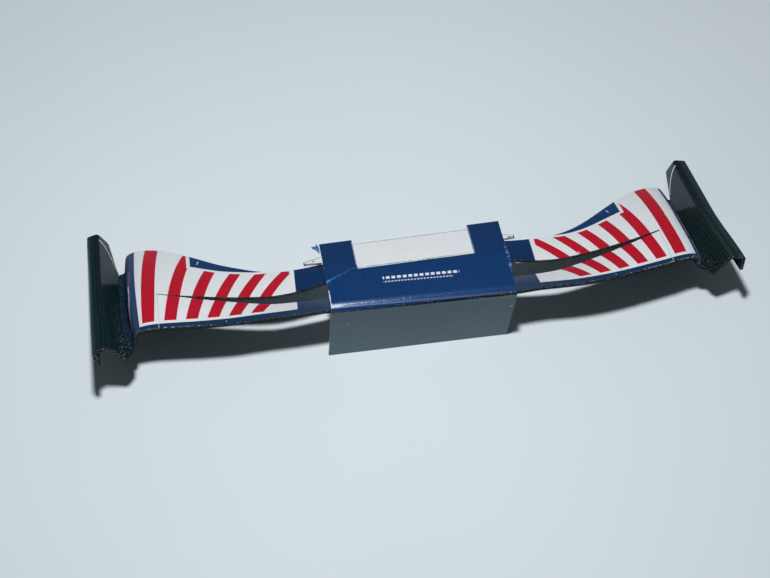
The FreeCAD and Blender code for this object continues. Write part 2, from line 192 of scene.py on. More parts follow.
# The slit's lips stand apart, more where they are worn, and the under sheet's edges are set back.
LIP_PART = {-1: 0.02, 1: 0.06}
LIP_WEAR = {-1: 0.09, 1: 0.03}
LIP_WEAR_RISE, LIP_WEAR_FALL = (13.0, 18.0), (24.0, 28.5)
UNDER_BACK, UNDER_LIP_SHARE = 0.18, 1.4
TRAIL_TRIM, TRAIL_TRIM_RISE = {-1: 1.3, 1: 0.0}, (0.3, 1.0)
LEAD_TRIM, LEAD_TRIM_RISE = {-1: 0.0, 1: 0.35}, (0.35, 0.8)


def lead_point(x, side):
    span = share_of(x, HALF, SLIT_END)
    lift = LEAD_ROOT_LIFT + span * (LEVEL - LEAD_ROOT_LIFT)
    bow_share = smooth(x, *LEAD_BOW_RISE) - smooth(x, *LEAD_BOW_FALL)
    run = LEAD_ROOT_RUN + smooth(x, *LEAD_TURN) * LEAD_SWEEP - side * FOLD_SKEW * (1 - span)
    run -= (LEAD_BOW + side * LEAD_SKEW) * bow_share
    if x < ROOT_STEP_MIDDLE:
        # Inside the saddle the sheet ends behind the front wall.
        run = max(run, (ROOT_FRONT - lift * math.sin(PITCH)) / math.cos(PITCH))
    return Vector((x, run, lift))


def trail_point(x, side):
    run = TRAIL_ROOT_RUN + smooth(x, *TRAIL_TURN) * TRAIL_SWEEP
    run -= side * TRAIL_SKEW * smooth(x, *TRAIL_SKEW_RISE)
    if side < 0:
        run += TRAIL_BULGE * swell(x, TRAIL_BULGE_RISE, TRAIL_BULGE_FALL)
    return Vector((x, run, TRAIL_LIFT))


def slit_point(x, side):
    bend = abs((x - SLIT_WAIST) / (SLIT_END - SLIT_WAIST)) ** SLIT_POWER
    run = SLIT_WAIST_RUN + bend * SLIT_SWEEP - side * SLIT_SKEW * share_of(x, HALF, SLIT_END)
    return Vector((x, run, SLIT_WAIST_LIFT + bend * SLIT_RISE))


def main_rear(x, side):
    power = SLIT_POWER - side * GAP_POWER_SKEW
    drop = (SLIT_GAP + side * GAP_SKEW) * (1 - share_of(x, HALF, SLIT_END)) ** power
    return slit_point(x, side) - Vector((0, HALF_KERF, drop))


def flap_front(x, side):
    return slit_point(x, side) + Vector((0, HALF_KERF, 0))


def camber_of(first, last):
    return CAMBER * ((last.y - first.y) / TIP_CHORD) ** 2


def bow(first, last, across, camber, v):
    return first + (last - first) * v + across * (4 * camber * v * (1 - v))


def shoulder_station(t):
    """Shares of the shoulder's width and drop at t on its curve, and the curve's heading there."""
    r = 1 - t
    near, far = 3 * r * r * t, 3 * r * t * t
    pairs = ((ROLL_SHARES[0], ROLL_SHARES[1]), (VALLEY_SHARES[0], VALLEY_SHARES[1]))
    place = [near * a + far * b + t ** 3 for a, b in pairs]
    heading = [r * r * a + 2 * r * t * (b - a) + t * t * (1 - b) for a, b in pairs]
    return place, heading


def wing_section(column, side, depth):
    """Main and flap end points of one column, with the across direction and the share of the camber."""
    kind, value = column
    back = UNDER_BACK if depth > CARD + GLUE / 3 else 0.0
    set_back = Vector((0, back, 0))
    part = Vector((0, LIP_PART[side] + back * UNDER_LIP_SHARE, 0))
    if kind == "span":
        x = value
        part.y += LIP_WEAR[side] * swell(x, LIP_WEAR_RISE, LIP_WEAR_FALL)
        sink = Vector((0, 0, -depth))
        rise = share_of(-x, -FLAP_RISE_START, -HALF)
        lift = sink + Vector((0, 0, FLAP_RISE * rise * rise))
        return (lead_point(x, side) + sink + set_back, main_rear(x, side) + sink - part,
                flap_front(x, side) + lift + part, trail_point(x, side) + lift, Vector((0, 0, 1)), 1.0)
    t = value
    (width_share, drop_share), heading = shoulder_station(t)
    width = SHOULDER - GLUE
    drop = LEVEL - VALLEY_LIFT
    across = Vector((drop * heading[1], 0, width * heading[0])).normalized()
    x = SLIT_END + width * width_share
    trail_trim = Vector((0, TRAIL_TRIM[side] * smooth(t, *TRAIL_TRIM_RISE), 0))
    lead_trim = Vector((0, LEAD_TRIM[side] * smooth(t, *LEAD_TRIM_RISE), 0))
    ends = (lead_point(x, side) + set_back + lead_trim, main_rear(SLIT_END, side) - part,
            flap_front(SLIT_END, side) + part, trail_point(x, side) - trail_trim)
    points = []
    for p in ends:
        out = width_share * p.y * math.tan(SPLAY)
        foot = Vector((x + out, p.y, LEVEL - drop * drop_share))
        points.append(foot + across * ((p.z - LEVEL) * (1 - t) - depth))
    return (*points, across, 1 - t)


def wing_columns():
    """A wing sheet's columns, along the span and then round the shoulder, and the last on the span."""
    columns = []
    for i in range(SPAN_STEPS + 1):
        x, after = (ROOT + (SLIT_END - ROOT) * k / SPAN_STEPS for k in (i, i + 1))
        columns.append(("span", x))
        if x < ROOT_STEP[0] < after:
            columns += [("span", step) for step in ROOT_STEP]
    last_on_span = len(columns) - 1
    columns += [("roll", i / ROLL_STEPS) for i in range(1, ROLL_STEPS + 1)]
    return columns, last_on_span


def stray_of(side, row, on_span, path, frayed):
    """How far back a wing sheet's front, slit and rear edges stray from their lines."""
    if row == 0:
        ragged = 0.55 + 0.7 * wobble(path * 2.3, 3.1 * side) + 0.5 * wobble(path * 7.0, side)
        return max(frayed * ragged, 0.0)
    if row in (MAIN_ROWS, MAIN_ROWS + 1) and on_span:
        return 0.035 * wobble(path * 5.0, row) * (-1 if row == MAIN_ROWS else 1)
    if row == MAIN_ROWS + FLAP_ROWS + 1:
        return -0.03 * abs(wobble(path * 3.0, 9.0 + side))
    return 0.0


def wing_sheet(name, side, depth, materials, frayed):
    columns, last_on_span = wing_columns()
    rows = MAIN_ROWS + FLAP_ROWS + 2
    far_from_slit = 9.0
    top, bottom, plan, extra = [], [], [], []
    path = 0.0
    previous = None
    for column in columns:
        upper = wing_section(column, side, depth)
        lower = wing_section(column, side, depth + CARD)
        on_span = column[0] == "span"
        if on_span:
            path = column[1]
        else:
            here = upper[0]
            was = previous or Vector((SLIT_END, 0, here.z))
            path += math.hypot(here.x - was.x, here.z - was.z)
            previous = here
        for row in range(rows):
            on_main = row <= MAIN_ROWS
            v = row / MAIN_ROWS if on_main else (row - MAIN_ROWS - 1) / FLAP_ROWS
            stray = Vector((0, stray_of(side, row, on_span, path, frayed), 0))
            for section, out in ((lower, bottom), (upper, top)):
                a, b = section[:2] if on_main else section[2:4]
                across, share = section[4:]
                out.append(bow(a, b, across, camber_of(a, b) * share, v) + stray)
            run = top[-1].y
            plan.append((path, run, depth))
            lead, rear, front, trail = upper[:4]
            slit = abs(run - (rear.y + front.y) / 2) if on_span else far_from_slit
            extra.append((run - lead.y, trail.y - run, slit))
    top = [settled(side, *p) for p in top]
    bottom = [settled(side, *p) for p in bottom]
    quads = []
    for c in range(len(columns) - 1):
        for row in range(rows - 1):
            if row == MAIN_ROWS and c < last_on_span:
                continue
            a = c * rows + row
            quad = [a, a + rows, a + rows + 1, a + 1]
            quads.append(quad if side > 0 else quad[::-1])
    return card_solid(name, top, bottom, plan, extra, quads, materials)


# Endplates.

PLATE_CORNERS = ((-0.07, 6.105), (SHELF_IN, 8.72), (SHELF_OUT, 8.72), (3.05, 6.87))
CORNER_REACH = (0.0, 0.42, 0.3, 0.0)
PLATE_STRAIGHT, PLATE_BEND, PLATE_ROWS, FLANGE_STEPS, FLANGE_ROWS = 14, 7, 72, 10, 12
# Lift and run of the knees in the endplate's raised rear underside.
REAR_KNEES = ((VALLEY_LIFT, 13.1), (6.8, 15.9), (7.27, 18.0), (8.72, PLATE_REAR))
# Upper corner and rear end of the glue flange between wing and endplate, and its trim in front.
FLANGE_TOP = {-1: (-FLANGE_IN, 7.35), 1: (-0.6, 6.92)}
FLANGE_REAR = {-1: -1.33, 1: -0.8}
FLANGE_TRIM = 0.15


def rounded_path(corners, reaches, straight, bend):
    points = []
    for i in range(len(corners) - 1):
        a, b = Vector(corners[i]), Vector(corners[i + 1])
        along = (b - a).normalized()
        start = a + along * reaches[i]
        end = b - along * reaches[i + 1]
        for k in range(straight + 1):
            points.append(start.lerp(end, k / straight))
        if i + 2 < len(corners):
            after = b + (Vector(corners[i + 2]) - b).normalized() * reaches[i + 1]
            for k in range(1, bend):
                t = k / bend
                points.append(end * (1 - t) ** 2 + b * (2 * t * (1 - t)) + after * t * t)
    return points


def path_normals(points):
    normals = []
    for i in range(len(points)):
        a, b = points[max(i - 1, 0)], points[min(i + 1, len(points) - 1)]
        d = (b - a).normalized()
        normals.append(Vector((-d.y, d.x)))
    return normals


def plate_front(x, side):
    front = PLATE_FRONT + side * PLATE_SKEW
    if x > SHELF_IN:
        return front + SHELF_FRONT_BACK * (SHELF_OUT - x) / (SHELF_OUT - SHELF_IN)
    if x > 0:
        return front + SHELF_FRONT_BACK + PLATE_FRONT_BACK * (SHELF_IN - x) / SHELF_IN
    return front + FLANGE_FRONT_BACK + FLANGE_BACK * (-x) / FLANGE_IN


def plate_rear(x, lift):
    cut = REAR_KNEES[0][1]
    for (low, start), (high, end) in zip(REAR_KNEES, REAR_KNEES[1:]):
        cut += share_of(lift, low, high) * (end - start)
    return min(cut, PLATE_REAR - SHELF_REAR_BACK * share_of(x, SHELF_IN, SHELF_OUT))


def endplate_point(side, x, run, lift):
    x_turned = x * math.cos(SPLAY) + run * math.sin(SPLAY)
    run_turned = run * math.cos(SPLAY) - x * math.sin(SPLAY)
    return settled(side, VALLEY + x_turned, run_turned, lift)


def folded_plate(name, side, points, thickness, rear, materials, rows=PLATE_ROWS, trim=0.0):
    """A card along a section path. rear is where it ends: one run, or None for the plate's own line."""
    top, bottom, plan, extra = [], [], [], []
    total = 0.0
    for i, (p, n) in enumerate(zip(points, path_normals(points))):
        if i:
            total += (p - points[i - 1]).length
        for surface, out in ((p, top), (p - n * thickness, bottom)):
            start = plate_front(p.x, side) + trim
            end = rear if rear is not None else plate_rear(p.x, surface.y)
            for k in range(rows + 1):
                run = start + (end - start) * k / rows
                if k in (0, rows):
                    run += (1 if k == 0 else -1) * 0.05 * abs(wobble(total * 3.0, k + side))
                out.append(endplate_point(side, surface.x, run, surface.y))
                if out is top:
                    plan.append((total, run, 0.0))
                    extra.append((run - start, end - run, p.x))
    quads = []
    for i in range(len(points) - 1):
        for k in range(rows):
            a = i * (rows + 1) + k
            quad = [a, a + 1, a + rows + 2, a + rows + 1]
            quads.append(quad[::-1] if side > 0 else quad)
    return card_solid(name, top, bottom, plan, extra, quads, materials)


# Centre saddle.

WALL_STEPS, FOLD_STEPS, TOP_STEPS, TAB_STEPS = 26, 10, 22, 26
APEX = WALL_STEPS + FOLD_STEPS // 2
TAB_COLUMNS, MIDDLE_COLUMNS = 20, 68
TOP_LENGTH, WALL_LENGTH = 12.4, 9.4
# The card is a little askew: shift and spread at its tail, at its fold and at its foot.
TAIL_SHIFT, TAIL_SPREAD, FOLD_SHIFT, FOLD_PINCH = 0.5, 0.017, 0.1, 0.0094
FOOT_SHIFT, FOOT_LEAN = -0.35, -0.45
TEAR_PLACE, TEAR_HALF, TEAR_DEPTH, TEAR_RAGGED = 5.6, 1.9, 0.2, 0.3
SIDE_FRAY, DENT, INK_LAYER = 0.035, 0.02, 0.02


def saddle_path(x):
    """Points from the foot of the front wall over the fold to the notch line."""
    fold = Vector((-FOLD_SKEW * x / HALF - CARD / 2, WALL))
    corner = rest(0, NOTCH_RUN, TAB_LIFT)
    notch = Vector((corner.y, corner.z))
    foot = Vector((-CARD / 2, 0.0))
    low = Vector((fold.x, WALL - FOLD_REACH))
    high = fold + (notch - fold) * (FOLD_REACH / (notch.x - fold.x))
    points = [foot.lerp(low, k / WALL_STEPS) for k in range(WALL_STEPS)]
    for k in range(FOLD_STEPS + 1):
        t = k / FOLD_STEPS
        points.append(low * (1 - t) ** 2 + fold * (2 * t * (1 - t)) + high * t * t)
    return points + [high.lerp(notch, k / TOP_STEPS) for k in range(1, TOP_STEPS + 1)]


def saddle_sway(x, s, at_side):
    """Sideways shift of the card at place x and distance s behind its fold."""
    rear, low = max(s, 0.0) / TOP_LENGTH, max(-s, 0.0) / WALL_LENGTH
    sway = rear * (TAIL_SHIFT + TAIL_SPREAD * x) + low * FOOT_SHIFT
    sway += (1 - rear) * (1 - low) * (FOLD_SHIFT - FOLD_PINCH * x)
    if at_side:
        sway -= SIDE_FRAY * abs(wobble(s * 2.7, x)) * (1 if x > 0 else -1)
    if x == HALF:
        torn = max(1 - abs(s - TEAR_PLACE) / TEAR_HALF, 0.0) ** 0.5
        sway += torn * (TEAR_DEPTH + TEAR_RAGGED * wobble(s * 1.9, 4.0))
    return sway, low


def saddle_card(materials):
    xs = []
    inner = HALF - TAB_WIDTH
    spans = ((-HALF, -inner, TAB_COLUMNS), (-inner, inner, MIDDLE_COLUMNS), (inner, HALF, TAB_COLUMNS))
    for start, end, count in spans:
        xs += [start + (end - start) * k / count for k in range(count)]
    xs.append(HALF)
    end = rest(0, TAB_END, TAB_LIFT)
    tail = Vector((end.y, end.z))
    top, bottom, plan, extra = [], [], [], []
    for x in xs:
        points = saddle_path(x)
        body = len(points)
        points += [points[-1].lerp(tail, k / TAB_STEPS) for k in range(1, TAB_STEPS + 1)]
        places = [0.0]
        for a, b in zip(points, points[1:]):
            places.append(places[-1] + (b - a).length)
        for i, (p, n) in enumerate(zip(points, path_normals(points))):
            s = places[i] - places[APEX]
            sway, low = saddle_sway(x, s, abs(x) == HALF and i > 2)
            lean = low * FOOT_LEAN * (x + HALF) / (2 * HALF)
            dent = DENT * wobble(x * 0.35, s * 0.4, 5.0) if 2 < i < len(points) - 1 else 0.0
            upper = p + n * (dent - INK_LAYER)
            lower = p - n * (CARD - dent)
            if i == 0:
                upper.y = lower.y = 0.0
            top.append(Vector((x + sway, upper.x + lean, max(upper.y, 0.0))))
            bottom.append(Vector((x + sway, lower.x + lean, max(lower.y, 0.0))))
            plan.append((x, s, 0.0))
            extra.append((max(i - body, 0.0), HALF - abs(x), 0.0))
    rows = body + TAB_STEPS
    quads = []
    for c in range(len(xs) - 1):
        in_tab = xs[c] >= inner - 1e-6 or xs[c + 1] <= -inner + 1e-6
        for i in range(rows - 1 if in_tab else body - 1):
            a = c * rows + i
            quads.append([a, a + rows, a + rows + 1, a + 1])
    return card_solid("saddle_card", top, bottom, plan, extra, quads, materials)


def paper_shred(name, outline, curl, material):
    """A torn curl of paper between two rows of points, given as place, run and lift."""
    first, second = outline
    top, plan, extra = [], [], []
    rows, steps = 5, 10
    for i in range(steps + 1):
        along = i / steps * (len(first) - 1)
        k = min(int(along), len(first) - 2)
        a = Vector(first[k]).lerp(Vector(first[k + 1]), along - k)
        b = Vector(second[k]).lerp(Vector(second[k + 1]), along - k)
        for j in range(rows + 1):
            v = j / rows
            rise = curl * math.sin(math.pi * v) + 0.05 * wobble(i * 0.7, j * 0.9)
            p = a.lerp(b, v) + Vector((0, 0, rise))
            top.append(rest(*p))
            plan.append((p.x, p.y, 0.0))
            extra.append((i / steps, v, 0.0))
    bottom = [p - Vector((0, 0.02, 0.06)) for p in top]
    corners = [c * (rows + 1) + r for c in range(steps) for r in range(rows)]
    quads = [[a, a + rows + 1, a + rows + 2, a + 1] for a in corners]
    return card_solid(name, top, bottom, plan, extra, quads, [material] * 3)


# Node materials.

def colour(r, g, b):
    def linear(v):
        v /= 255
        return v / 12.92 if v <= 0.04045 else ((v + 0.055) / 1.055) ** 2.4
    return (linear(r), linear(g), linear(b), 1.0)


class Paint:
    """A node material, with short names for the nodes it uses."""

    def __init__(self, name, roughness=0.5, specular=0.4):
        self.material = bpy.data.materials.new(name)
        self.material.use_nodes = True
        self.nodes = self.material.node_tree.nodes
        self.links = self.material.node_tree.links
        self.shader = self.nodes["Principled BSDF"]
        self.shader.inputs["Roughness"].default_value = roughness
        self.shader.inputs["Specular IOR Level"].default_value = specular

    def put(self, socket, value):
        if isinstance(value, bpy.types.NodeSocket):
            self.links.new(value, socket)
        else:
            socket.default_value = value

    def math(self, kind, *values):
        node = self.nodes.new("ShaderNodeMath")
        node.operation = kind
        for socket, value in zip(node.inputs, values):
            self.put(socket, value)
        return node.outputs[0]

    def plus(self, a, b):
        return self.math("ADD", a, b)

    def minus(self, a, b):
        return self.math("SUBTRACT", a, b)

    def times(self, a, b):
        return self.math("MULTIPLY", a, b)

    def over(self, a, b):
        return self.math("DIVIDE", a, b)

    def size_of(self, value):
        return self.math("ABSOLUTE", value)

    def fract(self, value):
        return self.math("FRACT", value)

    def sine(self, value):
        return self.math("SINE", value)

    def ramp(self, value, rate, start):
        """start plus rate times value."""
        return self.plus(start, self.times(value, rate))

    def split(self, vector):
        node = self.nodes.new("ShaderNodeSeparateXYZ")
        self.links.new(vector, node.inputs[0])
        return vector, node.outputs[0], node.outputs[1], node.outputs[2]

    def plan(self, name="plan"):
        node = self.nodes.new("ShaderNodeAttribute")
        node.attribute_name = name
        return self.split(node.outputs["Vector"])

    def place_mm(self):
        node = self.nodes.new("ShaderNodeTexCoord")
        scaled = self.nodes.new("ShaderNodeVectorMath")
        scaled.operation = "SCALE"
        scaled.inputs["Scale"].default_value = 1 / MM
        self.links.new(node.outputs["Object"], scaled.inputs[0])
        return self.split(scaled.outputs[0])

    def stretch(self, vector, x, y, z):
        node = self.nodes.new("ShaderNodeVectorMath")
        node.operation = "MULTIPLY"
        self.links.new(vector, node.inputs[0])
        node.inputs[1].default_value = (x, y, z)
        return node.outputs[0]

    def noise(self, vector, scale, detail=3.0, rough=0.55):
        node = self.nodes.new("ShaderNodeTexNoise")
        self.links.new(vector, node.inputs["Vector"])
        node.inputs["Scale"].default_value = scale
        node.inputs["Detail"].default_value = detail
        node.inputs["Roughness"].default_value = rough
        return node.outputs[0]

    def below(self, value, edge, soft=0.03):
        """1 where value is under edge, 0 above it."""
        node = self.nodes.new("ShaderNodeMapRange")
        self.put(node.inputs["Value"], self.minus(value, edge))
        node.inputs["From Min"].default_value = -soft
        node.inputs["From Max"].default_value = soft
        node.inputs["To Min"].default_value = 1.0
        node.inputs["To Max"].default_value = 0.0
        return node.outputs[0]

    def above(self, value, edge, soft=0.03):
        return self.minus(1.0, self.below(value, edge, soft))

    def band(self, value, centre, half, soft=0.03):
        return self.below(self.size_of(self.minus(value, centre)), half, soft)

    def specks(self, vector, level, soft, scale, detail=3.0, rough=0.55):
        """1 where a noise rises above level."""
        return self.above(self.noise(vector, scale, detail, rough), level, soft)

    def both(self, *masks):
        result = masks[0]
        for mask in masks[1:]:
            result = self.times(result, mask)
        return result

    def either(self, *masks):
        result = masks[0]
        for mask in masks[1:]:
            result = self.math("MAXIMUM", result, mask)
        return result

    def mix(self, share, first, second):
        node = self.nodes.new("ShaderNodeMix")
        node.data_type = "RGBA"
        self.put(node.inputs[0], share)
        self.put(node.inputs[6], first)
        self.put(node.inputs[7], second)
        return node.outputs[2]

    def cover(self, shown, *layers):
        """Pairs of mask and colour laid over shown, one after another."""
        for mask, tone in layers:
            shown = self.mix(mask, shown, tone)
        return shown

    def bump(self, height, distance, strength=1.0):
        node = self.nodes.new("ShaderNodeBump")
        node.inputs["Strength"].default_value = strength
        node.inputs["Distance"].default_value = distance * MM
        self.links.new(height, node.inputs["Height"])
        self.links.new(node.outputs[0], self.shader.inputs["Normal"])

    def base(self, value):
        self.put(self.shader.inputs["Base Color"], value)
        return self.material

    def rough(self, value):
        self.put(self.shader.inputs["Roughness"], value)


NAVY = colour(13, 51, 99)
NAVY_DEEP = colour(9, 40, 80)
NAVY_ROOT = colour(8, 40, 78)
NAVY_BORDER = colour(18, 43, 70)
NAVY_TURNED_SHADE = colour(46, 58, 80)
NAVY_PALE = colour(24, 68, 118)
NAVY_TAB = colour(10, 38, 76)
FOOT_SHADE_BLUE = colour(4, 25, 42)
FOOT_SPECK = colour(66, 100, 134)
RED = colour(171, 18, 39)
RED_DEEP = colour(158, 13, 33)
BLOOM = colour(122, 88, 124)
PAINTED_SHEEN = colour(110, 118, 150)
WHITE = colour(205, 210, 213)
WHITE_WARM = colour(196, 199, 203)
SLIT_SHADE = colour(120, 128, 134)
WALL_GREY = colour(90, 107, 119)
WALL_DARK = colour(78, 94, 106)
WALL_PALE = colour(108, 128, 141)
FOLD_LINE = colour(10, 20, 26)
FOLD_HIGHLIGHT = colour(66, 104, 166)
CRACK_AND_HIGHLIGHT = colour(190, 203, 216)
TICK = colour(196, 206, 218)
BLACK = colour(5, 17, 19)
BLACK_SOFT = colour(20, 32, 35)
PLATE_GREY = colour(60, 69, 77)
PLATE_GREY_DARK = colour(50, 58, 65)
PALE_FIBRE_AND_GLINT = colour(186, 195, 201)

# Tones of the endplates' woven print: ink, dots, fine grain, knots, ribs and the fold's painted
# highlight.
WEAVE = {
    -1: ((1, 14, 16), (28, 58, 62), (18, 50, 53), (38, 68, 71), (46, 78, 82), (1, 14, 16)),
    1: ((5, 17, 19), (46, 62, 64), (34, 54, 56), (62, 74, 76), (66, 82, 84), (58, 78, 84)),
}

# Places in the wings' print, in millimetres: a fan of bars round one place, borders, wedge and root.
FAN_PLACE, FAN_RUN, FAN_SPREAD = 31.4, 3.6, 22.0
FIRST_BAR, BAR_PITCH, BAR_MIDDLE, BAR_HALF, BAR_TAPER = 15.35, 2.9, 0.26, 0.25, 0.0113
BARS_START, BARS_END = 15.3, 31.5
BORDER, BORDER_MORE, BORDER_ROOT, BORDER_SPAN = 0.7, 0.8, 14.0, 17.0
WEDGE_START, WEDGE_SLOPE, WEDGE_END = 17.3, 0.28, {-1: 25.6, 1: 26.3}
ROOT_BLOCK, ROOT_SLOPE = 14.0, {-1: -0.05, 1: 0.06}
BORDER_MARGIN, WEDGE_MARGIN, WEDGE_END_MARGIN, TRAIL_MARGIN, ROOT_MARGIN = 0.42, 0.4, 0.42, 0.12, 0.55
TURN = {-1: 31.85, 1: 32.3}
CREASE = {-1: 32.55, 1: 32.68}
CREASE_HALF = {-1: 0.05, 1: 0.04}
CREASE_BEND, CREASE_BEND_RUN = 0.11, 5.5
STAIN_HALF = {-1: 0.45, 1: 0.15}

# Place, run and half length of the pale scratches in each wing's print.
SCRATCHES = {
    -1: ((24.7, 9.5, 0.35), (20.2, 6.6, 0.15), (16.3, 5.3, 0.35), (17.1, 5.55, 0.2),
         (22.15, -1.65, 0.06)),
    1: ((24.9, 9.1, 0.3), (19.4, 1.9, 0.2), (31.2, 6.5, 0.2), (16.85, 5.4, 0.2), (22.5, -2.72, 0.06)),
}
SCRATCH_SLOPE = 0.25


def card_grain(paint, vector, fine=9.0, distance=0.012):
    fibres = paint.noise(paint.stretch(vector, 1.0, 0.35, 1.0), fine, 4.0, 0.65)
    paint.bump(fibres, distance, 0.5)
    return fibres


def wing_print(name, side):
    """White card with a generic print: a fan of red bars, navy root, borders and turned-down edge."""
    paint = Paint(name, 0.42, 0.2)
    vector, u, v, _ = paint.plan()
    _, lead, trail, slit = paint.plan("edges")
    mottle = paint.noise(vector, 0.9, 2.0)
    grain = card_grain(paint, vector)
    white = paint.mix(mottle, WHITE, WHITE_WARM)
    red = paint.mix(paint.noise(vector, 5.0), RED, RED_DEEP)
    navy = paint.mix(paint.noise(vector, 2.2), NAVY, NAVY_DEEP)
    navy = paint.mix(paint.below(u, 14.6, 0.3), navy, NAVY_ROOT)
    navy = paint.mix(paint.both(paint.below(lead, 1.5, 0.2), 0.8), navy, NAVY_BORDER)

    behind = paint.minus(v, FAN_RUN)
    lean = paint.over(paint.minus(FAN_PLACE, u), FAN_SPREAD)
    fan = paint.plus(u, paint.times(behind, lean))
    phase = paint.fract(paint.over(paint.minus(fan, FIRST_BAR), BAR_PITCH))
    bar = paint.band(phase, BAR_MIDDLE, paint.ramp(behind, -BAR_TAPER, BAR_HALF), 0.008)
    inked = paint.both(bar, paint.above(fan, BARS_START, 0.02), paint.below(fan, BARS_END, 0.02))

    inboard = paint.minus(1.0, paint.over(paint.minus(u, BORDER_ROOT), BORDER_SPAN))
    border = paint.ramp(paint.times(inboard, inboard), BORDER_MORE, BORDER)
    wedge = paint.times(paint.minus(u, WEDGE_START), WEDGE_SLOPE)
    root = paint.ramp(v, ROOT_SLOPE[side], ROOT_BLOCK)
    margin = paint.either(
        paint.below(lead, paint.plus(border, BORDER_MARGIN)),
        paint.both(paint.below(trail, paint.plus(wedge, WEDGE_MARGIN)),
                   paint.below(u, WEDGE_END[side] + WEDGE_END_MARGIN)),
        paint.below(trail, TRAIL_MARGIN),
        paint.below(u, paint.plus(root, ROOT_MARGIN)))
    shown = paint.mix(paint.both(inked, paint.minus(1.0, margin)), white, red)
    ground = paint.either(
        paint.below(lead, border),
        paint.both(paint.below(trail, wedge), paint.below(u, WEDGE_END[side])),
        paint.below(u, root), paint.above(u, TURN[side]))
    crease_u = CREASE[side]
    if side < 0:
        ahead = paint.math("MAXIMUM", paint.minus(CREASE_BEND_RUN, v), 0.0)
        crease_u = paint.ramp(ahead, CREASE_BEND, crease_u)
    off_crease = paint.minus(u, crease_u)
    # The sheet's foot beyond the crease is painted dark as shade, with pale specks.
    foot = paint.mix(paint.specks(vector, 0.63, 0.02, 4.6, 2.0, 0.7), FOOT_SHADE_BLUE, FOOT_SPECK)
    # Painted shade: the navy is greyed on the turned-down face of the shoulder.
    turned_shade = paint.mix(paint.both(paint.above(u, TURN[side] + 0.15, 0.2), 0.4), navy, NAVY_TURNED_SHADE)
    shown = paint.mix(ground, shown, paint.mix(paint.above(off_crease, 0.14, 0.12), turned_shade, foot))

    # Wear: nicks and fibres at the edges, the shoulder's crease and score line, stains and scratches;
    # the crease's pale line is also a painted highlight.
    nick = paint.both(paint.specks(vector, 0.745, 0.012, 4.2, 2.0, 0.7), paint.below(lead, 1.2, 0.5))
    fibre = paint.noise(paint.stretch(vector, 1.0, 0.5, 1.0), 4.6, 4.0, 0.75)
    outboard = paint.times(paint.above(u, 24.5, 2.0), 0.07)
    worn_lead = paint.both(
        paint.below(lead, 0.11, 0.04), paint.above(paint.plus(fibre, outboard), 0.6, 0.02))
    worn_slit = paint.both(
        paint.below(slit, 0.11), paint.above(fibre, 0.6, 0.02), paint.above(u, 15.0))
    on_crease = paint.band(off_crease, 0.0, CREASE_HALF[side], 0.05)
    broken = paint.specks(paint.stretch(vector, 1, 0.5, 1), 0.4, 0.05, 1.0)
    # The crease's pale line stands partly for cracked ink and partly for a painted highlight on the
    # fold.
    crease = paint.both(on_crease, paint.below(v, 7.3, 0.4), broken)
    if side > 0:
        crease = paint.both(crease, paint.ramp(paint.above(v, 1.6, 1.4), 0.7, 0.3))
    stain = paint.both(on_crease, paint.band(v, 1.3, STAIN_HALF[side], 0.1))
    bloom = paint.both(paint.band(off_crease, -0.1, 0.15, 0.1), paint.band(v, 8.6, 1.2, 0.3), 0.35)
    before_slit = paint.below(v, 3.75 - SLIT_SKEW * side, 0.05)
    score = paint.both(paint.band(u, SLIT_END + 0.03, 0.022, 0.02), before_slit,
                       paint.specks(vector, 0.34, 0.05, 1.6, 2.0))
    # Painted shade in the score's groove, in front of the slit.
    score_groove_shade = paint.both(paint.band(u, SLIT_END - 0.02, 0.014, 0.012), before_slit)
    scratches = []
    for x, y, length in SCRATCHES[side]:
        slanted = paint.ramp(v, SCRATCH_SLOPE, u)
        scratches.append(paint.both(paint.band(slanted, x + SCRATCH_SLOPE * y, 0.05),
                                    paint.band(v, y, length, 0.05)))
    dots = paint.both(paint.specks(vector, 0.745, 0.01, 8.0, 1.0), paint.above(u, 32.4, 0.3))
    # Pale fibre where ink is worn, together with the crease's painted highlight.
    bare_and_glint = paint.either(nick, worn_lead, worn_slit, crease, score, *scratches, dots)
    dark_lead = paint.both(paint.below(lead, 0.09, 0.04), paint.below(fibre, 0.55))
    # A faint painted sheen along the shoulder.
    painted_sheen = paint.both(paint.band(u, 32.2, 0.4, 0.3), 0.06)
    paint.rough(paint.ramp(grain, 0.2, 0.34))
    return paint.base(paint.cover(
        shown, (paint.both(score_groove_shade, 0.7), SLIT_SHADE), (bloom, BLOOM), (bare_and_glint, PALE_FIBRE_AND_GLINT),
        (paint.both(stain, 0.75), RED), (dark_lead, BLACK), (painted_sheen, PAINTED_SHEEN)))


def black_card(name):
    """Black printed card with fibres and a few pale flecks along its edge."""
    paint = Paint(name, 0.55, 0.2)
    vector = paint.plan()[0]
    lead = paint.plan("edges")[1]
    grain = card_grain(paint, vector, 7.0, 0.02)
    shown = paint.mix(paint.noise(vector, 1.3), BLACK, BLACK_SOFT)
    fleck = paint.both(paint.specks(vector, 0.73, 0.012, 5.5, 3.0, 0.7), paint.below(lead, 0.8, 0.5))
    shown = paint.mix(fleck, shown, colour(150, 160, 166))
    paint.rough(paint.ramp(grain, 0.25, 0.42))
    return paint.base(shown)


def cut_edge(name, dark, pale, level):
    """A cut card edge: paper core with ink and dirt along it."""
    paint = Paint(name, 0.8, 0.2)
    vector = paint.plan()[0]
    rough = paint.noise(paint.stretch(vector, 1.0, 1.0, 6.0), 4.4, 5.0, 0.75)
    paint.bump(rough, 0.03, 0.7)
    return paint.base(paint.mix(paint.above(rough, level, 0.05), dark, pale))


def white_back(name):
    """Unprinted back of the card."""
    paint = Paint(name, 0.75, 0.25)
    vector = paint.plan()[0]
    card_grain(paint, vector, 6.0, 0.015)
    return paint.base(paint.mix(paint.noise(vector, 0.6, 4.0), WHITE, WHITE_WARM))


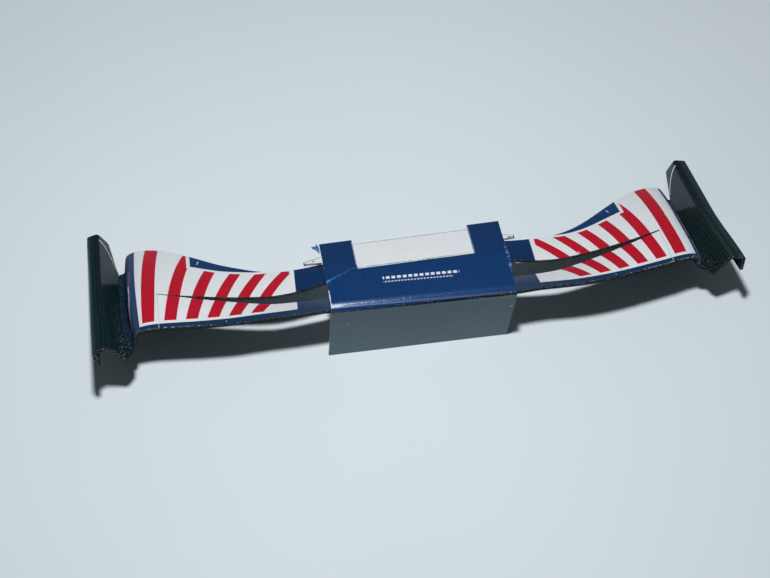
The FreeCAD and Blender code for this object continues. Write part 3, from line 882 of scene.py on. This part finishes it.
def saddle_print(name):
    """Navy top, cracked pale and with a painted highlight along the fold, over a dark grey wall."""
    paint = Paint(name, 0.4, 0.2)
    vector, u, s, _ = paint.plan()
    grain = card_grain(paint, vector, 8.0, 0.012)
    navy = paint.mix(paint.noise(vector, 1.4), NAVY, NAVY_DEEP)
    navy = paint.mix(paint.both(paint.specks(vector, 0.55, 0.08, 4.0, 3.0, 0.6), 0.35), navy, NAVY_PALE)
    wall = paint.mix(paint.noise(paint.stretch(vector, 0.35, 1.0, 1.0), 1.1, 4.0), WALL_GREY, WALL_DARK)
    wall = paint.mix(paint.both(paint.below(s, -5.0, 4.0), 0.4), wall, WALL_PALE)
    ragged = paint.noise(paint.stretch(vector, 1.0, 0.6, 1.0), 3.2, 4.0, 0.7)
    rightward = paint.times(paint.plus(u, HALF), 0.5 / HALF)
    leftward = paint.minus(1.0, rightward)
    edge = paint.plus(paint.ramp(ragged, 0.4, -0.75), paint.times(rightward, 0.66))
    past_edge = paint.minus(s, edge)
    line_half, broken = paint.ramp(rightward, 0.15, 0.07), paint.ramp(rightward, -0.12, 0.46)
    dark_line = paint.both(
        paint.band(past_edge, -0.04, line_half, 0.05), paint.above(ragged, broken, 0.05))

    # A generic ruled line of ticks and a finer one under it.
    tick = paint.both(paint.band(paint.fract(paint.times(u, 1.55)), 0.4, 0.33, 0.05),
                      paint.band(u, 0.2, 4.4), paint.band(s, 4.15, 0.2))
    fine = paint.both(paint.band(paint.fract(paint.times(u, 2.7)), 0.45, 0.33, 0.08),
                      paint.band(u, -0.2, 4.0), paint.band(s, 3.52, 0.09))
    ticks = paint.either(tick, paint.both(fine, 0.75))

    # A painted highlight along the crest of the fold, with ink rubbed and cracked there, most towards
    # the left.
    crest = paint.minus(s, paint.ramp(rightward, 0.5, 0.4))
    lively = paint.noise(paint.stretch(vector, 0.5, 1.0, 1.0), 1.0)
    # A painted highlight on the fold's crest.
    crest_highlight = paint.both(paint.band(crest, 0.0, 0.2, 0.4), paint.ramp(leftward, 0.5, 0.12),
                      paint.plus(0.3, lively))
    streak = paint.noise(paint.stretch(vector, 1.0, 2.2, 1.0), 3.6, 4.0, 0.72)
    pale_level = paint.ramp(paint.times(leftward, leftward), -0.2, 0.7)
    pale_speckle = paint.noise(paint.stretch(vector, 1.0, 1.6, 1.0), 5.5, 3.0, 0.7)
    # Pale crest marks: cracked ink, and a painted highlight strongest towards the left.
    cracks_and_highlight = paint.either(
        paint.both(paint.band(crest, 0.0, 0.12, 0.1), paint.above(streak, pale_level)),
        paint.both(paint.band(crest, 0.0, 0.22, 0.22), paint.above(pale_speckle, pale_level, 0.05), 0.8))
    frayed = paint.both(paint.band(past_edge, 0.1, 0.12, 0.08), paint.above(streak, 0.64, 0.015))
    dots = paint.both(
        paint.band(crest, -0.2, 0.6, 0.3), paint.specks(vector, 0.735, 0.01, 5.0, 2.0, 0.6))
    corner = paint.both(
        paint.below(u, -9.3, 0.3), paint.band(crest, -0.05, 0.2, 0.1), paint.above(streak, 0.44))
    cracks_and_highlight = paint.either(cracks_and_highlight, frayed, dots, corner)

    # Two pale flecks and a pit in the front wall.
    flecks = []
    for x, y, reach in ((-8.65, -3.12, 0.11), (10.25, -2.5, 0.13)):
        off_x, off_y = (paint.math("POWER", paint.minus(*pair), 2.0) for pair in ((u, x), (s, y)))
        flecks.append(paint.below(paint.ramp(off_y, 2.4, off_x), reach * reach, 0.006))
    pit = paint.both(paint.band(u, -8.75, 0.11, 0.04), paint.band(s, -2.95, 0.07, 0.04))

    # A pale crease across the left tab, torn bits beside it and rubbed side edges.
    across = paint.minus(s, paint.ramp(paint.plus(u, 10.4), 0.58, 4.45))
    wander = paint.times(paint.minus(paint.noise(vector, 1.6, 2.0), 0.5), 0.5)
    along = paint.plus(across, wander)
    crease = paint.both(paint.band(along, 0.0, 0.025, 0.025), paint.below(u, -6.9),
                        paint.specks(vector, 0.45, 0.06, 2.2, 2.0), 0.4)
    bits = paint.both(
        paint.band(along, 0.05, 0.09, 0.05), paint.below(u, -9.5, 0.2), paint.above(ragged, 0.5))
    blot = paint.both(
        paint.band(along, -0.05, 0.22, 0.1), paint.below(u, -10.15, 0.15),
        paint.above(streak, 0.42, 0.04))
    off_middle = paint.size_of(u)
    inner_rim = paint.both(paint.band(off_middle, HALF - TAB_WIDTH + 0.05, 0.07),
                           paint.above(s, 6.9, 0.1), paint.above(ragged, 0.47, 0.05))
    right_tear = paint.both(paint.above(u, 0.0), paint.band(s, 5.7, 2.2, 0.4))
    past_reach = paint.minus(paint.minus(HALF, off_middle), paint.ramp(right_tear, 0.12, 0.07))
    rim = paint.both(paint.below(past_reach, 0.0),
                     paint.above(paint.ramp(right_tear, 0.1, ragged), 0.6, 0.02), paint.above(s, -0.4))
    left_cut = paint.both(
        paint.below(u, -10.47), paint.band(s, 1.5, 1.3, 0.2), paint.above(ragged, 0.47))
    paint.rough(paint.ramp(grain, 0.2, 0.32))
    return paint.base(paint.cover(
        paint.mix(paint.below(past_edge, 0.0), navy, wall),
        (dark_line, FOLD_LINE), (ticks, TICK), (crest_highlight, FOLD_HIGHLIGHT), (cracks_and_highlight, CRACK_AND_HIGHLIGHT),
        (paint.either(*flecks), colour(205, 212, 218)), (pit, colour(8, 14, 18)),
        (crease, colour(140, 168, 204)), (paint.either(bits, blot), colour(66, 112, 184)),
        (inner_rim, colour(150, 178, 212)), (paint.both(paint.above(s, 6.5, 1.5), 0.5), NAVY_TAB),
        (rim, colour(92, 120, 168)), (left_cut, colour(205, 211, 217))))


def plate_print(name, side):
    """Black woven print in front, smooth grey behind, on the folded endplate."""
    paint = Paint(name, 0.48, 0.1)
    vector, p, run, _ = paint.plan()
    _, front, rear, _ = paint.plan("edges")
    left = side < 0
    ink, dot_tone, fine_tone, knot_tone, rib_tone, fold_highlight_tone = (colour(*tone) for tone in WEAVE[side])
    grain = card_grain(paint, vector, 7.0, 0.02)
    speck = paint.noise(vector, 4.5, 3.0, 0.7)
    across, along = paint.times(p, 7.9), paint.times(run, 6.8)
    dots = paint.times(paint.sine(paint.plus(across, along)), paint.sine(paint.minus(across, along)))
    dots = paint.above(dots, 0.25, 0.2)
    patchy = paint.ramp(paint.noise(vector, 1.1, 3.0, 0.7), 0.9, 0.35)
    fine = paint.noise(vector, 6.5, 2.0, 0.8)
    dots = paint.both(dots, paint.above(speck, 0.4 if left else 0.48, 0.08), patchy, 0.5)
    ribs = paint.above(paint.sine(paint.plus(paint.times(run, 16.0), p)), 0.1, 0.5)
    rib_place, rib_share = (4.4, 0.35) if left else (4.15, 0.6)
    ribs = paint.both(paint.band(p, rib_place, 0.45, 0.25), ribs, patchy, rib_share)
    knots = paint.above(paint.sine(paint.times(p, 15.0)), 0.0, 0.5)
    rows = paint.above(paint.sine(paint.times(run, 12.0)), 0.35, 0.35)
    ragged = paint.specks(vector, 0.47, 0.1, 2.6, 3.0, 0.7)
    knots = paint.both(rows, knots, paint.above(fine, 0.49, 0.06), patchy, ragged, 0.7)
    # A painted highlight along the fold between the inner plate and the shelf.
    fold_highlight_share, fold_reach = (0.6, 1.0) if left else (0.4, paint.below(run, 6.5, 4.0))
    streak = paint.both(paint.band(p, 3.15, 0.12, 0.25), fold_highlight_share, patchy, fold_reach)
    weave = paint.cover(
        ink, (dots, dot_tone), (paint.both(paint.above(fine, 0.54, 0.06), 0.4), fine_tone),
        (paint.above(fine, 0.7, 0.02), colour(84, 106, 108)), (ribs, rib_tone),
        (paint.both(paint.below(p, 2.7, 0.2), knots), knot_tone), (streak, fold_highlight_tone))
    # On the left plate the outer zone is painted paler: a painted highlight where it faces the light.
    if left:
        pale_level = paint.ramp(paint.band(run, 9.5, 4.5, 4.0), 0.5, 0.15)
        pale_level = paint.both(paint.above(p, 4.36, 0.16), pale_level, paint.above(fine, 0.36, 0.1))
        weave = paint.mix(pale_level, weave, colour(118, 146, 150))
    uneven = paint.times(paint.minus(paint.noise(vector, 1.2), 0.5), 1.4)
    border = paint.plus(paint.ramp(paint.minus(3.1, p), 0.9, 8.1), uneven)
    smooth_part = paint.both(paint.above(run, border, 0.3), paint.below(p, 3.0 if left else 2.75, 0.12))
    grey = paint.mix(paint.noise(vector, 0.8), PLATE_GREY, PLATE_GREY_DARK)

    # A pale score that curves along the rear edge.
    start, lean, curve = (17.2, 0.2, 0.45) if left else (17.3, 0.26, 0.4)
    q = paint.minus(3.0, p)
    bend = paint.minus(start, paint.plus(paint.times(q, lean), paint.times(paint.times(q, q), curve)))
    score = paint.both(paint.band(run, bend, 0.09, 0.05), paint.band(p, 1.7, 1.3, 0.05))
    beyond = paint.both(paint.above(run, bend, 0.05), paint.below(p, 2.9, 0.1), 0.35)

    # Chipped ends, and pale specks towards the foot in front.
    chip = paint.noise(vector, 4.6, 5.0, 0.75)
    foot_specks = paint.specks(vector, 0.61 + 0.01 * side, 0.02, 3.4, 4.0, 0.75)
    pale_speckle = paint.either(
        paint.both(paint.below(front, 0.08, 0.05), paint.above(chip, 0.6)),
        paint.both(paint.below(rear, 0.06, 0.04), paint.above(chip, 0.62)),
        paint.both(paint.below(p, 1.2 - 0.3 * side, 0.5), paint.below(run, 4.0, 4.0), foot_specks,
                   0.65 - 0.2 * side),
        paint.both(paint.above(speck, 0.755, 0.01), paint.below(run, 9.0, 0.5)))
    paint.rough(paint.ramp(grain, 0.25, 0.38))
    return paint.base(paint.cover(
        weave, (smooth_part, grey), (beyond, colour(84, 98, 108)), (score, colour(214, 219, 222)),
        (pale_speckle, colour(160, 174, 180))))


def strip_print(name):
    """White card with a thin black outline near its rear edge and round its tips, and a painted shadow
    line under the notch's front edge.
    """
    paint = Paint(name, 0.7, 0.2)
    vector, x, y, z = paint.place_mm()
    card_grain(paint, vector, 6.0, 0.015)
    shown = paint.mix(paint.noise(vector, 0.5, 4.0), WHITE, WHITE_WARM)
    run = paint.minus(paint.times(y, math.cos(PITCH)), paint.times(z, math.sin(PITCH)))
    side = paint.size_of(x)
    tip = paint.above(side, 10.45)
    outward = paint.minus(side, HALF)
    line = paint.both(paint.band(run, 8.08, 0.03, 0.025), paint.below(side, 9.0))
    tip_rear, tip_front = paint.ramp(outward, 0.316, run), paint.ramp(outward, -0.079, run)
    rim = paint.either(paint.band(tip_rear, 6.35, 0.04), paint.band(tip_front, 5.29, 0.04))
    thin = paint.specks(vector, 0.42, 0.06, 1.9)
    end = paint.above(side, 12.38)
    marks = paint.either(
        paint.both(paint.band(x, 11.96, 0.13, 0.04), paint.band(run, 5.6, 0.1, 0.04)),
        paint.both(paint.band(x, -11.35, 0.14, 0.04), paint.band(run, 5.8, 0.08, 0.04)))
    # A painted contact shadow under the notch's front edge.
    notch_shadow = paint.both(
        paint.band(run, NOTCH_RUN + 0.52, 0.05), paint.below(x, 5.5, 2.5), thin)
    fleck = paint.both(paint.specks(vector, 0.7, 0.03, 1.4, 3.0, 0.7), 0.3)
    shown = paint.mix(fleck, shown, colour(150, 158, 168))
    outline_and_shadow = paint.either(paint.both(line, thin), paint.both(tip, rim, thin), end, marks, notch_shadow)
    return paint.base(paint.mix(outline_and_shadow, shown, colour(34, 40, 50)))


def shred_print(name):
    """Torn blue ink with pale fibre along one edge."""
    paint = Paint(name, 0.6, 0.2)
    vector = paint.plan()[0]
    across = paint.plan("edges")[2]
    card_grain(paint, vector, 6.0, 0.02)
    torn = paint.noise(vector, 3.0, 4.0, 0.7)
    shown = paint.mix(torn, colour(44, 78, 140), colour(78, 116, 174))
    fibre = paint.either(paint.below(across, 0.14, 0.06), paint.above(torn, 0.62))
    return paint.base(paint.mix(fibre, shown, colour(200, 212, 224)))


# The pieces. Torn curls of paper are given as two rows of place, run and lift, and a curl.
TEARS = (
    ("shred_blue", (((-10.42, 8.3, 9.72), (-10.85, 8.35, 9.8), (-11.3, 8.1, 9.85)),
                    ((-10.45, 6.8, 9.7), (-10.75, 7.45, 9.78), (-11.2, 7.85, 9.84))), 0.06),
    ("shred_pale", (((-10.4, 8.1, 9.74), (-10.5, 8.3, 9.85), (-10.62, 8.5, 9.9)),
                    ((-10.4, 7.2, 9.74), (-10.55, 7.9, 9.84), (-10.72, 8.3, 9.9))), 0.03),
)
PRINT_FRAY, UNDER_FRAY = 0.08, 0.02

pale_edge = cut_edge("cut_edge_pale", colour(120, 136, 156), colour(198, 206, 214), 0.45)
dark_edge = cut_edge("cut_edge_dark", colour(6, 14, 18), colour(165, 174, 180), 0.6)
black = black_card("black_card")
back = white_back("white_back")
shred_paint = shred_print("shred_print")

saddle = saddle_card([saddle_print("saddle_print"), back, pale_edge])
pieces = [(saddle, "centre_saddle", "navy_card")]
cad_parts["glue_strip"].data.materials.clear()
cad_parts["glue_strip"].data.materials.append(strip_print("strip_print"))
for side, word in ((-1, "left"), (1, "right")):
    printed = wing_print("wing_print_" + word, side)
    upper = wing_sheet("wing_print_" + word, side, 0.0, [printed, back, dark_edge], PRINT_FRAY)
    under = wing_sheet("wing_black_" + word, side, CARD + GLUE, [black, black, dark_edge], UNDER_FRAY)
    plate = plate_print("plate_print_" + word, side)
    section = rounded_path(PLATE_CORNERS, CORNER_REACH, PLATE_STRAIGHT, PLATE_BEND)
    channel = folded_plate("plate_" + word, side, section, PLATE_CARD, None, [plate, black, dark_edge])
    flange_top, valley = Vector(FLANGE_TOP[side]), Vector((0.0, VALLEY_LIFT))
    section = [flange_top.lerp(valley, k / FLANGE_STEPS) for k in range(FLANGE_STEPS + 1)]
    flange = folded_plate("plate_flange_" + word, side, section, CARD, FLANGE_REAR[side],
                          [plate, black, black], FLANGE_ROWS, FLANGE_TRIM)
    pieces += [
        (upper, "wing_upper_" + word, "printed_card"),
        (under, "wing_under_" + word, "black_card"),
        (channel, "endplate_" + word, "black_card"),
        (flange, "endplate_" + word, "black_card"),
    ]
for name, outline, curl in TEARS:
    pieces.append((paper_shred(name, outline, curl, shred_paint), "centre_saddle", "navy_card"))
for piece, node, slot in pieces:
    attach(piece, "root")
    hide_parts(node)

# Floor, light and camera. What the camera sees directly of the world, and of the floor beyond
# FADE_DISTANCE, has the backdrop's colour; everything else sees the weak ambient light.
BACKDROP = colour(192, 203, 209)
FADE_DISTANCE, FADE_HALF = 110.0, 65.0
AMBIENT_COLOUR, AMBIENT_STRENGTH = (0.78, 0.93, 1.0, 1.0), 0.1
FLOOR_SIZE, FLOOR_DROP = 2.0, 0.00002
KEY_PLACE, KEY_TARGET, KEY_SIZE, KEY_POWER = (-0.013, -0.006, 0.1716), (0, 0.005, 0), 0.015, 0.32
CAMERA_PLACE = (-0.0201901, -0.0769807, 0.1455312)
CAMERA_TURN = Quaternion((0.9611097, 0.2630661, -0.0317091, -0.0778392))

scene = bpy.context.scene
scene.view_settings.view_transform = "Standard"


def camera_rays(nodes):
    return nodes.new("ShaderNodeLightPath").outputs["Is Camera Ray"]


def blend_shaders(tree, share, first, second, output):
    """The first shader where share is 0, the second where it is 1."""
    node = tree.nodes.new("ShaderNodeMixShader")
    for socket, value in zip(node.inputs, (share, first.outputs[0], second.outputs[0])):
        tree.links.new(value, socket)
    tree.links.new(node.outputs[0], tree.nodes[output].inputs["Surface"])


def stand(name, data, location, turn):
    thing = bpy.data.objects.new(name, data)
    thing.location = location
    thing.rotation_mode = "QUATERNION"
    thing.rotation_quaternion = turn
    scene.collection.objects.link(thing)
    return thing


paper = Paint("floor_paper", 0.9, 0.2)
place = paper.place_mm()[0]
paper.base(paper.mix(paper.noise(place, 0.02, 2.0), colour(194, 204, 209), colour(201, 210, 215)))
distance = paper.nodes.new("ShaderNodeVectorMath")
distance.operation = "LENGTH"
paper.links.new(place, distance.inputs[0])
far = paper.above(distance.outputs["Value"], FADE_DISTANCE, FADE_HALF)
far = paper.both(far, camera_rays(paper.nodes))
paper_glow = paper.nodes.new("ShaderNodeEmission")
paper_glow.inputs["Color"].default_value = BACKDROP
blend_shaders(paper.material.node_tree, far, paper.shader, paper_glow, "Material Output")
bpy.ops.mesh.primitive_plane_add(size=FLOOR_SIZE, location=(0, 0, -FLOOR_DROP))
floor = bpy.context.object
floor.name = "floor"
floor.data.materials.append(paper.material)

world = bpy.data.worlds.new("studio")
scene.world = world
world.use_nodes = True
world_nodes = world.node_tree.nodes
ambient = world_nodes["Background"]
ambient.inputs["Color"].default_value = AMBIENT_COLOUR
ambient.inputs["Strength"].default_value = AMBIENT_STRENGTH
backdrop = world_nodes.new("ShaderNodeBackground")
backdrop.inputs["Color"].default_value = BACKDROP
blend_shaders(world.node_tree, camera_rays(world_nodes), ambient, backdrop, "World Output")

lamp = bpy.data.lights.new("key", "AREA")
lamp.shape = "DISK"
lamp.size = KEY_SIZE
lamp.energy = KEY_POWER
stand("key", lamp, KEY_PLACE, (Vector(KEY_TARGET) - Vector(KEY_PLACE)).to_track_quat("-Z", "Y"))

optics = bpy.data.cameras.new("camera")
optics.lens = 65.7
optics.sensor_width = 36
optics.clip_start = 0.005
optics.clip_end = 10
scene.camera = stand("camera", optics, CAMERA_PLACE, CAMERA_TURN)
